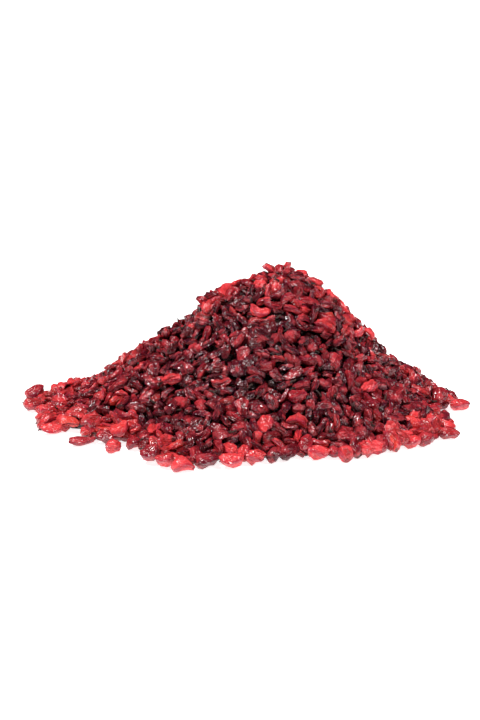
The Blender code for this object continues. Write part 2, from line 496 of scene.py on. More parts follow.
class Wire:
    """A shader socket. Sums and products of wires become Math nodes."""

    def __init__(self, finish, socket):
        self.finish = finish
        self.socket = socket

    def maths(self, operation, first, second):
        return self.finish.node(
            "ShaderNodeMath", {"operation": operation}, {0: first, 1: second}
        )

    def __add__(self, other):
        return self.maths("ADD", self, other)

    def __radd__(self, other):
        return self.maths("ADD", other, self)

    def __sub__(self, other):
        return self.maths("SUBTRACT", self, other)

    def __rsub__(self, other):
        return self.maths("SUBTRACT", other, self)

    def __mul__(self, other):
        return self.maths("MULTIPLY", self, other)

    def __rmul__(self, other):
        return self.maths("MULTIPLY", other, self)


class Finish:
    """A material under construction."""

    def __init__(self, name):
        self.material = bpy.data.materials.new(name)
        self.material.use_nodes = True
        self.tree = self.material.node_tree
        self.shader = self.tree.nodes["Principled BSDF"]

    def node(self, kind, settings, sockets, output=0):
        """Adds a node, with its settings first and then the values or links of its sockets."""
        node = self.tree.nodes.new(kind)
        for name, value in settings.items():
            setattr(node, name, value)
        for name, value in sockets.items():
            self.join(node.inputs[name], value)
        return Wire(self, node.outputs[output])

    def join(self, socket, value):
        if isinstance(value, Wire):
            self.tree.links.new(value.socket, socket)
        else:
            socket.default_value = value

    def attribute(self, name, output="Fac"):
        return self.node("ShaderNodeAttribute", {"attribute_name": name}, {}, output)

    def ramp(self, value, low, high):
        """0 under low, 1 over high, and smooth between."""
        settings = {"interpolation_type": "SMOOTHSTEP"}
        sockets = {"Value": value, "From Min": low, "From Max": high}
        return self.node("ShaderNodeMapRange", settings, sockets)

    def blend(self, factor, first, second):
        """Mixes two colours. Sockets 6 and 7 and output 2 are the node's own for colours."""
        sockets = {0: factor, 6: first, 7: second}
        return self.node("ShaderNodeMix", {"data_type": "RGBA"}, sockets, 2)

    def object_place(self):
        return self.node("ShaderNodeTexCoord", {}, {}, "Object")

    def noise(self, place, scale, detail=2.0):
        sockets = {"Vector": place, "Scale": scale, "Detail": detail}
        return self.node("ShaderNodeTexNoise", {}, sockets)

    def set(self, **values):
        """Sets the shader's own sockets, named with underscores for their spaces."""
        for name, value in values.items():
            self.join(self.shader.inputs[name.replace("_", " ")], value)


def opaque(colour):
    return (*colour, 1.0)


def tinted(colour, *shares):
    """The colour with each part, or all three, multiplied by its share."""
    shares = shares * 3 if len(shares) == 1 else shares
    return opaque([share * part for share, part in zip(shares, colour)])


def skin_finish(kind):
    """Thin, shrunken, slightly translucent skin, with a painted glow in thin patches and painted
    shade in its dents.
    """
    colours = bpy.context.scene.barberry_skin
    finish = Finish(f"{kind}_berry_skin")
    colour = getattr(colours, kind)
    tone = finish.attribute("tone")
    crease = finish.attribute("crease")
    tip = finish.attribute("tip")
    skin = finish.attribute("skin_place", "Vector")
    place = finish.object_place()

    mottle = finish.noise(place, scale=520.0, detail=4.0)
    patch = finish.noise(place, scale=300.0, detail=3.0)
    # Painted glow: each kind's own colour leaned to the glow colour, for light shining through the
    # skin.
    glow = opaque([0.60 * own + 0.40 * thin for own, thin in zip(colour, colours.glow)])
    # Painted shade in the folds, from the fold depth stored with each point.
    painted_fold_shade = finish.ramp(crease, low=0.20, high=1.0)

    # From the plain skin outwards: ripe or deep, warm, a painted glow of light through thin skin,
    # painted shade at the sides, in the folds and in the gaps between berries, and dark at the
    # tip.
    ripe = finish.ramp(tone * 0.45 + mottle * 0.9, low=0.38, high=0.88)
    look = finish.blend(ripe, tinted(colour, 0.42), opaque(colour))
    warm = finish.ramp(tone, low=0.88, high=0.96) * 0.6
    look = finish.blend(warm, look, tinted(colour, 1.05, 1.5, 0.8))
    # Painted glow in random thin patches, weaker in the folds.
    thin = finish.ramp(patch - painted_fold_shade * 0.16, low=0.44, high=0.62) * 0.80
    look = finish.blend(thin, look, glow)
    # Painted shade: each berry's sides, across its width, are darker and more purple.
    across = finish.node("ShaderNodeSeparateXYZ", {}, {"Vector": skin}, "Y")
    side = finish.ramp(across * across + mottle * 0.5, low=0.85, high=1.35) * 0.8
    look = finish.blend(side, look, tinted(colour, 0.42, 0.40, 0.85))
    # Painted shade: darker at the bottom of the folds.
    look = finish.blend(painted_fold_shade * 0.35, look, tinted(colour, 0.16))
    # Painted shade: darker where the point lies deep between berries.
    gap = finish.ramp(finish.attribute("gap") + mottle * 0.2, low=0.05, high=0.65) * 0.86
    look = finish.blend(gap, look, tinted(colour, 0.10))
    finish.set(Base_Color=finish.blend(tip, look, opaque(colours.tip)))

    stretched = {"Vector": skin, "Scale": (1.8, 2.6, 2.6)}
    lengthways = finish.node("ShaderNodeMapping", {}, stretched)
    wrinkles = finish.noise(lengthways, scale=1.0, detail=1.0)
    puckers = finish.noise(place, scale=620.0, detail=1.0)
    relief = {"Strength": 1.0, "Distance": 0.0008, "Height": wrinkles + puckers * 0.8}
    finish.set(
        Normal=finish.node("ShaderNodeBump", {}, relief),
        Roughness=finish.ramp(mottle, low=0.30, high=0.75) * 0.14 + (colours.roughness - 0.20),
        Subsurface_Weight=0.35,
        Subsurface_Radius=(1.0, 0.12, 0.10),
        Subsurface_Scale=0.0012,
        Specular_IOR_Level=0.54,
    )
    return finish.material


def core_finish():
    """Painted shade: what lies between the berries, in plum and garnet skin colours darkened for
    shade.
    """
    colours = bpy.context.scene.barberry_skin
    finish = Finish("shaded_berries")
    place = finish.object_place()
    grain = finish.noise(place, scale=320.0)
    # Painted shade: the plum colour is darkened to a fifth and the garnet to three tenths.
    dark = tinted(colours.plum, 0.20)
    lighter = tinted(colours.garnet, 0.30)
    finish.set(
        Base_Color=finish.blend(finish.ramp(grain, low=0.40, high=0.70), dark, lighter),
        Roughness=finish.ramp(grain, low=0.30, high=0.70) * 0.2 + 0.55,
    )
    return finish.material


def stalk_finish():
    """Dry blackish brown stalk ends."""
    colours = bpy.context.scene.barberry_skin
    finish = Finish("dry_stalk")
    place = finish.object_place()
    grain = finish.noise(place, scale=1400.0)
    brown = opaque((0.060, 0.024, 0.014))
    woody = finish.ramp(grain, low=0.35, high=0.70)
    finish.set(
        Base_Color=finish.blend(woody, opaque(colours.tip), brown),
        Roughness=finish.ramp(grain, low=0.30, high=0.70) * 0.25 + 0.55,
    )
    return finish.material


def mesh_from(shape, name):
    """Turns a finished bmesh into a mesh."""
    mesh = bpy.data.meshes.new(name)
    shape.to_mesh(mesh)
    shape.free()
    return mesh


def new_mesh_object(name, mesh, collection):
    obj = bpy.data.objects.new(name, mesh)
    collection.objects.link(obj)
    return obj


def hand_over(piece):
    """Makes a finished piece ride on the heap's body, and hides the heap's own part that the
    pieces stand in for.
    """
    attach(piece, BODY)
    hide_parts(HEAP_NODE)


def draw_folds(draw):
    """Lengthwise folds of a dried skin: start, drift, width, depth and middle of each."""
    count = draw.integers(4, 7)
    first = draw.uniform(0.0, math.tau)
    return [
        (
            first + number * math.tau / count + draw.uniform(-0.35, 0.35),
            draw.normal(0.0, 0.45),
            draw.uniform(0.35, 0.70),
            draw.choice((0.10, 0.18, 0.28, 0.45)),
            draw.uniform(0.2, 0.8),
        )
        for number in range(count)
    ]


def fold_depth(x, around, folds):
    """How deep the skin has sunk in here. Where two folds meet they leave a sharp ridge."""
    deepest = 0.0
    shortening = 0.6
    for start, drift, width, depth, middle in folds:
        off = (around - start - drift * x + math.pi) % math.tau - math.pi
        lengthwise = max(0.0, 1.0 - shortening * (x - 2.0 * middle + 1.0) ** 2)
        deepest = max(deepest, depth * lengthwise * (1.0 - (off / width) ** 2))
    return deepest


def berry_mesh(name, draw, berry, sides=14, rings=9, shrunken=1.0):
    """A dried oblong berry along X: blunt ends, dents between sharp ridges, often bent.

    A berry that is less shrunken keeps a plumper, smoother skin.
    """
    tapering = draw.uniform(-0.30, 0.30)
    bend_flat = draw.normal(0.0, 0.16)
    bend_side = draw.normal(0.0, 0.10)
    twist = draw.normal(0.0, 0.50)
    fullness = draw.uniform(0.50, 0.80)
    folds = draw_folds(draw)
    lump_seed = Vector(draw.uniform(-50.0, 50.0, 3))
    tip_size = draw.choice((0.0, 0.0, 0.05, 0.08))
    crumple = draw.normal(0.0, 0.08 * shrunken, (rings + 1, sides))
    swelling, knobs, end_shift = 0.30, 0.40 * shrunken, 0.25
    refill = 1.14  # the dents take this much off a berry's usual size
    # Painted shade: a fold's bottom is darkened by this many times its depth.
    fold_shade_gain = 2.4  # times a fold's depth is how dark its bottom gets

    shape = bmesh.new()
    # This layer holds the painted shade at the bottom of each fold.
    crease = shape.verts.layers.float.new("crease")
    tip = shape.verts.layers.float.new("tip")
    skin = shape.verts.layers.float_vector.new("skin_place")

    def add_point(ring, side):
        along, around = ring / rings, side * math.tau / sides
        x = -math.cos(math.pi * along)
        girth = math.sin(math.pi * along) if 0 < ring < rings else 0.0
        direction = Vector((x, math.cos(around) * girth, math.sin(around) * girth))
        depth = fold_depth(x, around, folds) * shrunken
        lump = 1.0 + swelling * noise.noise(direction * 1.5 + lump_seed)
        lump += knobs * noise.noise(direction * 3.4 - lump_seed) + crumple[ring][side]
        radius = girth**fullness * (1.0 + tapering * x) * (1.0 - depth) * lump * refill
        reach = x * (0.96 + end_shift * noise.noise(direction * 2.3 - lump_seed))
        turned = around + twist * x
        y = radius * math.cos(turned) * berry.width / 2
        z = radius * math.sin(turned) * berry.thickness / 2
        y += bend_side * x * x * berry.length / 2
        z += bend_flat * x * x * berry.length / 2
        vert = shape.verts.new((reach * berry.length / 2, y, z))
        vert[crease] = max(0.0, min(depth * fold_shade_gain, 1.0))
        vert[tip] = max(0.0, min(1.0, (along - 1.0 + 2 * tip_size) / max(tip_size, 1e-3)))
        vert[skin] = (along, math.cos(around), math.sin(around))
        return vert

    start = add_point(0, 0)
    hoops = [[add_point(ring, side) for side in range(sides)] for ring in range(1, rings)]
    end = add_point(rings, 0)
    for side in range(sides):
        after = (side + 1) % sides
        shape.faces.new((start, hoops[0][after], hoops[0][side]))
        shape.faces.new((end, hoops[-1][side], hoops[-1][after]))
        for near, far in zip(hoops, hoops[1:]):
            shape.faces.new((near[side], near[after], far[after], far[side]))
    bmesh.ops.recalc_face_normals(shape, faces=shape.faces[:])
    mesh = mesh_from(shape, name)
    mesh.shade_smooth()
    mesh.set_sharp_from_angle(angle=RIDGE_ANGLE)
    return mesh


def stalk_mesh(name, draw, sides=6, joints=5):
    """A crooked stalk end, thicker where it broke off the berry."""
    length = draw.uniform(0.0018, 0.0030)
    radius = draw.uniform(0.00022, 0.00034)
    sway = draw.normal(0.0, 0.00025, (joints, 2))
    foot, taper, torn_end = 1.35, 0.55, 0.35
    shape = bmesh.new()

    def add_point(joint, side):
        along, around = joint / (joints - 1), side * math.tau / sides
        girth = radius * (foot - taper * along + torn_end * (joint == joints - 1))
        y = math.cos(around) * girth + sway[joint][0] * along
        z = math.sin(around) * girth + sway[joint][1] * along
        return shape.verts.new((along * length, y, z))

    hoops = [[add_point(joint, side) for side in range(sides)] for joint in range(joints)]
    for near, far in zip(hoops, hoops[1:]):
        for side in range(sides):
            after = (side + 1) % sides
            shape.faces.new((near[side], near[after], far[after], far[side]))
    shape.faces.new(hoops[0])
    shape.faces.new(hoops[-1])
    bmesh.ops.recalc_face_normals(shape, faces=shape.faces[:])
    mesh = mesh_from(shape, name)
    mesh.shade_smooth()
    return mesh


def shape_collection(name, meshes):
    """Puts the shapes to pick from in a collection that isn't shown. It is sorted by name."""
    collection = bpy.data.collections.new(name)
    for mesh in meshes:
        new_mesh_object(mesh.name, mesh, collection)
    return collection


def drop_collection(collection):
    for obj in list(collection.objects):
        bpy.data.objects.remove(obj, do_unlink=True)
    bpy.data.collections.remove(collection)


class Scatter:
    """Berries in the heap: where each lies, how it is turned, and how large it is."""

    def __init__(self, middle, up, heading, tilt, roll, size, band):
        self.middle = middle
        self.size = size
        self.band = band  # least and most depth under the heap's outer level, and reach
        self.laid, self.buried, self.plump = (np.zeros(len(middle), bool) for _ in range(3))
        along = np.stack((np.cos(heading), np.sin(heading), np.zeros_like(heading)), axis=-1)
        across = unit(np.cross(up, along))
        along = np.cross(across, up)
        raised = along * np.cos(tilt)[:, None] + up * np.sin(tilt)[:, None]
        flat = np.cross(raised, across)
        rolled = across * np.cos(roll)[:, None] + flat * np.sin(roll)[:, None]
        self.turn = np.stack((raised, rolled, np.cross(raised, rolled)), axis=-1)

    def extend(self, other):
        for name in ("middle", "size", "band", "turn", "laid", "buried", "plump"):
            setattr(self, name, np.concatenate((getattr(self, name), getattr(other, name))))

    def balls(self):
        """Five balls that fill each berry: places, in the berry's own frame, and radii."""
        half = self.size / 2
        rounding = 0.96
        radius = half[:, 2] * rounding
        end = half[:, 0] - radius
        side = half[:, 1] - radius
        local = np.zeros((len(half), 5, 3))
        local[:, 1, 0], local[:, 2, 0] = end, -end
        local[:, 3, 1], local[:, 4, 1] = side, -side
        return local, radius


def unit(vectors):
    return vectors / np.maximum(np.linalg.norm(vectors, axis=-1, keepdims=True), 1e-9)


def near_pairs(middle, size, batch=256):
    """Every two berries that are close enough to touch, a batch of berries at a time."""
    reach = size[:, 0].max()
    first, second = [], []
    for start in range(0, len(middle), batch):
        gap = middle[start : start + batch, None] - middle[None]
        row, column = np.nonzero((gap**2).sum(axis=-1) < reach**2)
        ahead = row + start < column
        first.append(row[ahead] + start)
        second.append(column[ahead])
    return np.concatenate(first), np.concatenate(second)


def push_apart(places, radius, first, second):
    """How far each ball moves so that it clears the balls of other berries."""
    gap = places[first][:, :, None] - places[second][:, None]
    distance = np.maximum(np.linalg.norm(gap, axis=-1), 1e-6)
    overlap = np.maximum((radius[first] + radius[second])[:, None, None] - distance, 0.0)
    push = gap * (0.5 * overlap / distance)[..., None]
    moves = np.zeros_like(places)
    np.add.at(moves, first, push.sum(axis=2))
    np.add.at(moves, second, -push.sum(axis=1))
    return moves


def keep_in_heap(places, radius, band, form):
    """How far each ball moves to stay in its layer, on the table and inside the foot."""
    spots = places[..., :2]
    normal = form.normal(spots)
    depth = (form.level(spots) - places[..., 2]) * normal[..., 2]
    too_high = np.maximum(band[:, None, 0] + radius[:, None] - depth, 0.0)
    too_deep = np.maximum(depth - band[:, None, 1] - radius[:, None], 0.0)
    lift = 0.5
    moves = normal * (lift * too_deep - too_high)[..., None]
    outside = np.maximum(form.share(spots) - band[:, None, 2], 0.0)
    inward = form.crest - spots
    moves[..., :2] += inward * outside[..., None]
    below = radius[:, None] - (places + moves)[..., 2]
    moves[..., 2] += np.maximum(below, 0.0)
    return moves


def settle(scatter, form, rounds=90, refresh=6, stiffness=0.45):
    """Pushes the berries apart until they only touch, each as one stiff body."""
    local, radius = scatter.balls()
    for step in range(rounds):
        if step % refresh == 0:
            first, second = near_pairs(scatter.middle, scatter.size)
        offsets = np.einsum("nij,nkj->nki", scatter.turn, local)
        places = scatter.middle[:, None] + offsets
        places += stiffness * push_apart(places, radius, first, second)
        places += keep_in_heap(places, radius, scatter.band, form)
        middle = places.mean(axis=1)
        spread = np.einsum("nki,nkj->nij", places - middle[:, None], local)
        left, _, right = np.linalg.svd(spread)
        flip = np.ones((len(spread), 3))
        flip[:, 2] = np.linalg.det(left @ right)
        loose = ~scatter.laid
        scatter.middle[loose] = middle[loose]
        scatter.turn[loose] = ((left * flip[:, None]) @ right)[loose]


def draw_sizes(draw, count, berry, plumper=1.0, side_spread=0.10):
    """Sizes that differ from berry to berry, and a little from side to side of a berry."""
    usual = plumper * np.array((berry.length, berry.width, berry.thickness))
    whole = 1.0 + draw.uniform(-berry.spread, berry.spread, (count, 1))
    return usual * whole * (1.0 + draw.uniform(-side_spread, side_spread, (count, 3)))


def layer_of_berries(draw, form, berry, count, depth, share, tilt, bands, edge):
    """Berries spread evenly over the heap at this depth, turned every way.

    The bands are the ranges of a berry's least and most depth, and the edge is how far out
    it may go, as a share of the foot's outline.
    """
    stray, roll = 0.0009, 0.85
    spots = form.spread(count, share, draw.uniform(0.0, math.tau))
    spots += draw.normal(0.0, stray, spots.shape)
    up = form.normal(spots)
    height = form.level(spots)
    middle = np.column_stack((spots, height)) - up * depth
    middle[:, 2] = np.maximum(middle[:, 2], berry.thickness / 2)
    band = np.column_stack(
        (
            draw.uniform(*bands[0], count),
            draw.uniform(*bands[1], count),
            draw.uniform(*edge, count),
        )
    )
    return Scatter(
        middle,
        up,
        draw.uniform(0.0, math.tau, count),
        draw.normal(0.0, tilt, count),
        draw.normal(0.0, roll, count),
        draw_sizes(draw, count, berry),
        band,
    )


def foot_row(draw, form, berry):
    """Plump berries that lie flat on the table round the foot. In front they stand back."""
    count = berry.rim_count
    direction = (np.arange(count) + draw.uniform(-0.3, 0.3, count)) * math.tau / count
    set_back = 0.03
    inward = set_back * np.clip(-2.0 * np.sin(direction), 0.0, 1.0)
    spots = form.place(draw.uniform(0.93, 0.97, count) - inward, direction)
    middle = np.column_stack((spots, np.full(count, berry.thickness / 2)))
    up = np.tile((0.0, 0.0, 1.0), (count, 1))
    band = np.column_stack(
        (np.zeros(count), np.full(count, 0.004), draw.uniform(0.96, 0.985, count) - inward)
    )
    scatter = Scatter(
        middle,
        up,
        draw.uniform(0.0, math.tau, count),
        draw.normal(0.0, 0.10, count),
        draw.normal(0.0, 0.25, count),
        draw_sizes(draw, count, berry, plumper=1.14),
        band,
    )
    scatter.plump[:] = True
    return scatter


def laid_by_hand(draw):
    """Berries that stand out in the heap, each at its own place."""
    _, x, y, z, heading, tilt, length, width, _ = zip(*PLACED_BERRIES)
    count = len(x)
    at_foot = np.array(z) < 6.0
    thickness = np.where(at_foot, 0.85, 0.68) * np.array(width)
    bulge = 1.06  # a berry's lumps reach past its plain size
    size = np.column_stack((length, width, thickness)) / 1000 / bulge
    scatter = Scatter(
        np.column_stack((x, y, z)) / 1000,
        np.tile((0.0, 0.0, 1.0), (count, 1)),
        np.radians(heading),
        np.radians(tilt),
        draw.normal(0.0, 0.15, count),
        size,
        np.zeros((count, 3)),
    )
    scatter.laid[:] = True
    scatter.plump = at_foot
    return scatter


def scattered_berries(draw, form, berry):
    """Three layers of berries, the foot's row and those listed one by one, settled together."""
    scatter = layer_of_berries(
        draw,
        form,
        berry,
        count=berry.top_count,
        depth=0.0015,
        share=0.95,
        tilt=0.55,
        bands=((-0.0009, 0.0010), (0.0010, 0.0026)),
        edge=(0.93, 0.96),
    )
    scatter.extend(foot_row(draw, form, berry))
    scatter.extend(laid_by_hand(draw))
    for depth in (0.0046, 0.0072):
        layer = layer_of_berries(
            draw,
            form,
            berry,
            count=berry.lower_count,
            depth=depth,
            share=0.90,
            tilt=0.30,
            bands=((depth - 0.0022, depth - 0.0016), (depth + 0.001, depth + 0.002)),
            edge=(0.90, 0.93),
        )
        layer.buried[:] = True
        scatter.extend(layer)
    settle(scatter, form)
    return scatter


def scatter_tree():
    """Geometry Nodes: sets out shapes on points by the points' own turn, size and shape."""
    tree = bpy.data.node_groups.new("set_out_pieces", "GeometryNodeTree")
    for name, way, kind in (
        ("Points", "INPUT", "Geometry"),
        ("Shapes", "INPUT", "Collection"),
        ("Size", "INPUT", "Float"),
        ("Finish", "INPUT", "Material"),
        ("Pieces", "OUTPUT", "Geometry"),
    ):
        tree.interface.new_socket(name, in_out=way, socket_type=f"NodeSocket{kind}")

    def add(kind, **settings):
        node = tree.nodes.new(kind)
        for name, value in settings.items():
            setattr(node, name, value)
        return node

    def stored(name, data_type):
        node = add("GeometryNodeInputNamedAttribute", data_type=data_type)
        node.inputs["Name"].default_value = name
        return node.outputs["Attribute"]

    link = tree.links.new
    given = add("NodeGroupInput")
    shapes = add("GeometryNodeCollectionInfo")
    shapes.inputs["Separate Children"].default_value = True
    shapes.inputs["Reset Children"].default_value = True
    turn = add("FunctionNodeEulerToRotation")
    scaled = add("ShaderNodeVectorMath", operation="SCALE")
    set_out = add("GeometryNodeInstanceOnPoints")
    set_out.inputs["Pick Instance"].default_value = True
    realized = add("GeometryNodeRealizeInstances")
    painted = add("GeometryNodeSetMaterial")
    result = add("NodeGroupOutput")

    link(given.outputs["Points"], set_out.inputs["Points"])
    link(given.outputs["Shapes"], shapes.inputs["Collection"])
    link(shapes.outputs["Instances"], set_out.inputs["Instance"])
    link(stored("shape", "INT"), set_out.inputs["Instance Index"])
    link(stored("turn", "FLOAT_VECTOR"), turn.inputs["Euler"])
    link(turn.outputs["Rotation"], set_out.inputs["Rotation"])
    link(stored("size", "FLOAT_VECTOR"), scaled.inputs[0])
    link(given.outputs["Size"], scaled.inputs["Scale"])
    link(scaled.outputs["Vector"], set_out.inputs["Scale"])
    link(set_out.outputs["Instances"], realized.inputs["Geometry"])
    link(realized.outputs["Geometry"], painted.inputs["Geometry"])
    link(given.outputs["Finish"], painted.inputs["Material"])
    link(painted.outputs["Geometry"], result.inputs["Pieces"])
    return tree


def rest_on_table(mesh, count, clearance=0.0001):
    """Lifts each of the mesh's shapes that dips under the table. All have as many points."""
    places = np.empty(len(mesh.vertices) * 3)
    mesh.vertices.foreach_get("co", places)
    places = places.reshape(count, -1, 3)
    lowest = places[:, :, 2].min(axis=1)
    places[:, :, 2] += np.maximum(clearance - lowest, 0.0)[:, None]
    mesh.vertices.foreach_set("co", places.ravel())


def set_out(name, tree, shapes, material, points, collection):
    """Runs the tree on points and keeps its result as a plain mesh."""
    mesh = bpy.data.meshes.new(f"{name}_points")
    mesh.from_pydata(points["middle"].tolist(), [], [])
    kinds = {"turn": "FLOAT_VECTOR", "size": "FLOAT_VECTOR", "shape": "INT", "tone": "FLOAT"}
    for key, kind in kinds.items():
        layer = mesh.attributes.new(key, kind, "POINT")
        values = np.ascontiguousarray(points[key]).ravel()
        layer.data.foreach_set("vector" if kind == "FLOAT_VECTOR" else "value", values)
    source = new_mesh_object(f"{name}_source", mesh, collection)
    modifier = source.modifiers.new("set_out", "NODES")
    modifier.node_group = tree
    identifiers = {item.name: item.identifier for item in tree.interface.items_tree}
    modifier[identifiers["Shapes"]] = shapes
    modifier[identifiers["Finish"]] = material
    modifier[identifiers["Size"]] = 1.0
    bpy.context.view_layer.update()
    graph = bpy.context.evaluated_depsgraph_get()
    plain = bpy.data.meshes.new_from_object(source.evaluated_get(graph))
    plain.name = name
    bpy.data.objects.remove(source, do_unlink=True)
    rest_on_table(plain, len(points["middle"]))
    for key in ("turn", "size", "shape"):
        if key in plain.attributes:
            plain.attributes.remove(plain.attributes[key])
    return new_mesh_object(name, plain, collection)


def surface_over(spots, pieces, cell=0.0008, reach=3):
    """The heap's own height near each spot.

    It is the berries' highest points in square cells, averaged as many cells round it as reach.
    """
    points = np.concatenate([mesh_points(piece) for piece in pieces])
    low = points[:, :2].min(axis=0) - cell * (reach + 1)
    columns = np.ceil((points[:, :2].max(axis=0) - low) / cell).astype(int) + reach + 2
    highest = np.zeros(columns)
    place = ((points[:, :2] - low) / cell).astype(int)
    np.maximum.at(highest, (place[:, 0], place[:, 1]), points[:, 2])
    filled = (highest > 0.0).astype(float)
    total, weight = np.zeros(columns), np.zeros(columns)
    for shift_x in range(-reach, reach + 1):
        for shift_y in range(-reach, reach + 1):
            total += np.roll(highest, (shift_x, shift_y), (0, 1))
            weight += np.roll(filled, (shift_x, shift_y), (0, 1))
    average = total / np.maximum(weight, 1.0)
    place = ((spots[:, :2] - low) / cell).astype(int)
    return average[place[:, 0], place[:, 1]]


def mesh_points(piece):
    points = np.empty(len(piece.data.vertices) * 3)
    piece.data.vertices.foreach_get("co", points)
    return points.reshape(-1, 3)


def rising(values, low, high):
    """0 under low, 1 over high, and straight between."""
    return np.clip((values - low) / (high - low), 0.0, 1.0)


def mark_gap_shade(pieces, form):
    """Marks each point by how deep it lies between its neighbours, where little light comes, for
    the painted shade there.

    The white table lights the foot, so the painted shade in the gaps there counts for less.
    """
    full_depth, foot_light = 0.004, 0.75
    for piece in pieces:
        points = mesh_points(piece)
        spots = points[:, :2]
        sunk = (surface_over(points, pieces) - points[:, 2]) * form.normal(spots)[:, 2]
        sunk *= 1.0 - foot_light * rising(form.share(spots), 0.80, 0.92)
        # This attribute sets the painted shade between berries.
        layer = piece.data.attributes.new("gap", "FLOAT", "POINT")
        layer.data.foreach_set("value", np.clip(sunk / full_depth, -1.0, 2.0))


def euler_turns(turns):
    return np.array([Matrix(turn.tolist()).to_euler("XYZ")[:] for turn in turns])


def pick_kinds(draw, scatter, form):
    """Which kind each berry is: brighter at the foot, the crest and the left end as painted light,
    darker below as painted shade.
    """
    spots = scatter.middle[:, :2]
    depth = (form.level(spots) - scatter.middle[:, 2]) * form.normal(spots)[:, 2]
    edge = rising(form.share(spots), 0.78, 0.94)
    crown = rising(scatter.middle[:, 2], 0.030, 0.042)
    left = rising(-spots[:, 0], 0.018, 0.060)
    flank = rising(np.abs(spots[:, 0]), 0.028, 0.048)
    ridge = rising(spots[:, 1], -0.004, 0.004)
    # Painted light: on top of a random draw, brighter kinds at the foot, the crest, the left end,
    # both ends and the back.
    tone_and_painted_light = draw.uniform(-0.44, 0.60, len(spots)) + 0.76 * edge + 0.28 * crown
    tone_and_painted_light += 0.34 * left + 0.18 * flank + 0.22 * ridge
    # Painted shade: darker kinds the deeper a berry lies under the top layer.
    top_layer, painted_depth_shade = 0.0025, 150.0
    tone_and_painted_light -= painted_depth_shade * np.maximum(depth - top_layer, 0.0)
    limits = (0.68, 0.34, 0.02)
    kinds = len(limits) - sum((tone_and_painted_light > limit).astype(int) for limit in limits)
    kinds[scatter.laid] = [KINDS.index(berry[0]) for berry in PLACED_BERRIES]
    return kinds


class BARBERRY_OT_core(Operator):
    """Makes the core that the berries lie on, dark with painted shade"""

    bl_idname = "barberry.core"
    bl_label = "Heap core"

    def execute(self, context):
        form = heap_form()
        depth = context.scene.barberry_heap.core_depth
        directions, rings = 72, 22
        foot_share, roughness, grain, edge_height = 0.85, 0.0012, 260.0, 0.0006
        shape = bmesh.new()
        bmesh.ops.create_grid(shape, x_segments=directions, y_segments=rings, size=0.5)
        for vert in shape.verts:
            turn = np.array((vert.co.x + 0.5) * math.tau)
            share = np.array(foot_share * (vert.co.y + 0.5))
            spot = form.place(share, turn)
            rough = roughness * noise.noise(Vector((spot[0], spot[1], 0.0)) * grain)
            drop = depth / form.normal(spot)[2]
            vert.co = (*spot, max(float(form.level(spot)) - drop + rough, edge_height))
        bmesh.ops.remove_doubles(shape, verts=shape.verts[:], dist=1e-6)
        rim = [edge for edge in shape.edges if edge.is_boundary]
        wall = bmesh.ops.extrude_edge_only(shape, edges=rim)["geom"]
        for vert in (item for item in wall if isinstance(item, bmesh.types.BMVert)):
            vert.co.z = 0.0
        bmesh.ops.contextual_create(shape, geom=[edge for edge in shape.edges if edge.is_boundary])
        bmesh.ops.recalc_face_normals(shape, faces=shape.faces[:])
        mesh = mesh_from(shape, "heap_core")
        mesh.shade_smooth()
        mesh.materials.append(core_finish())
        core = new_mesh_object("heap_core", mesh, context.scene.collection)
        hand_over(core)
        return {"FINISHED"}


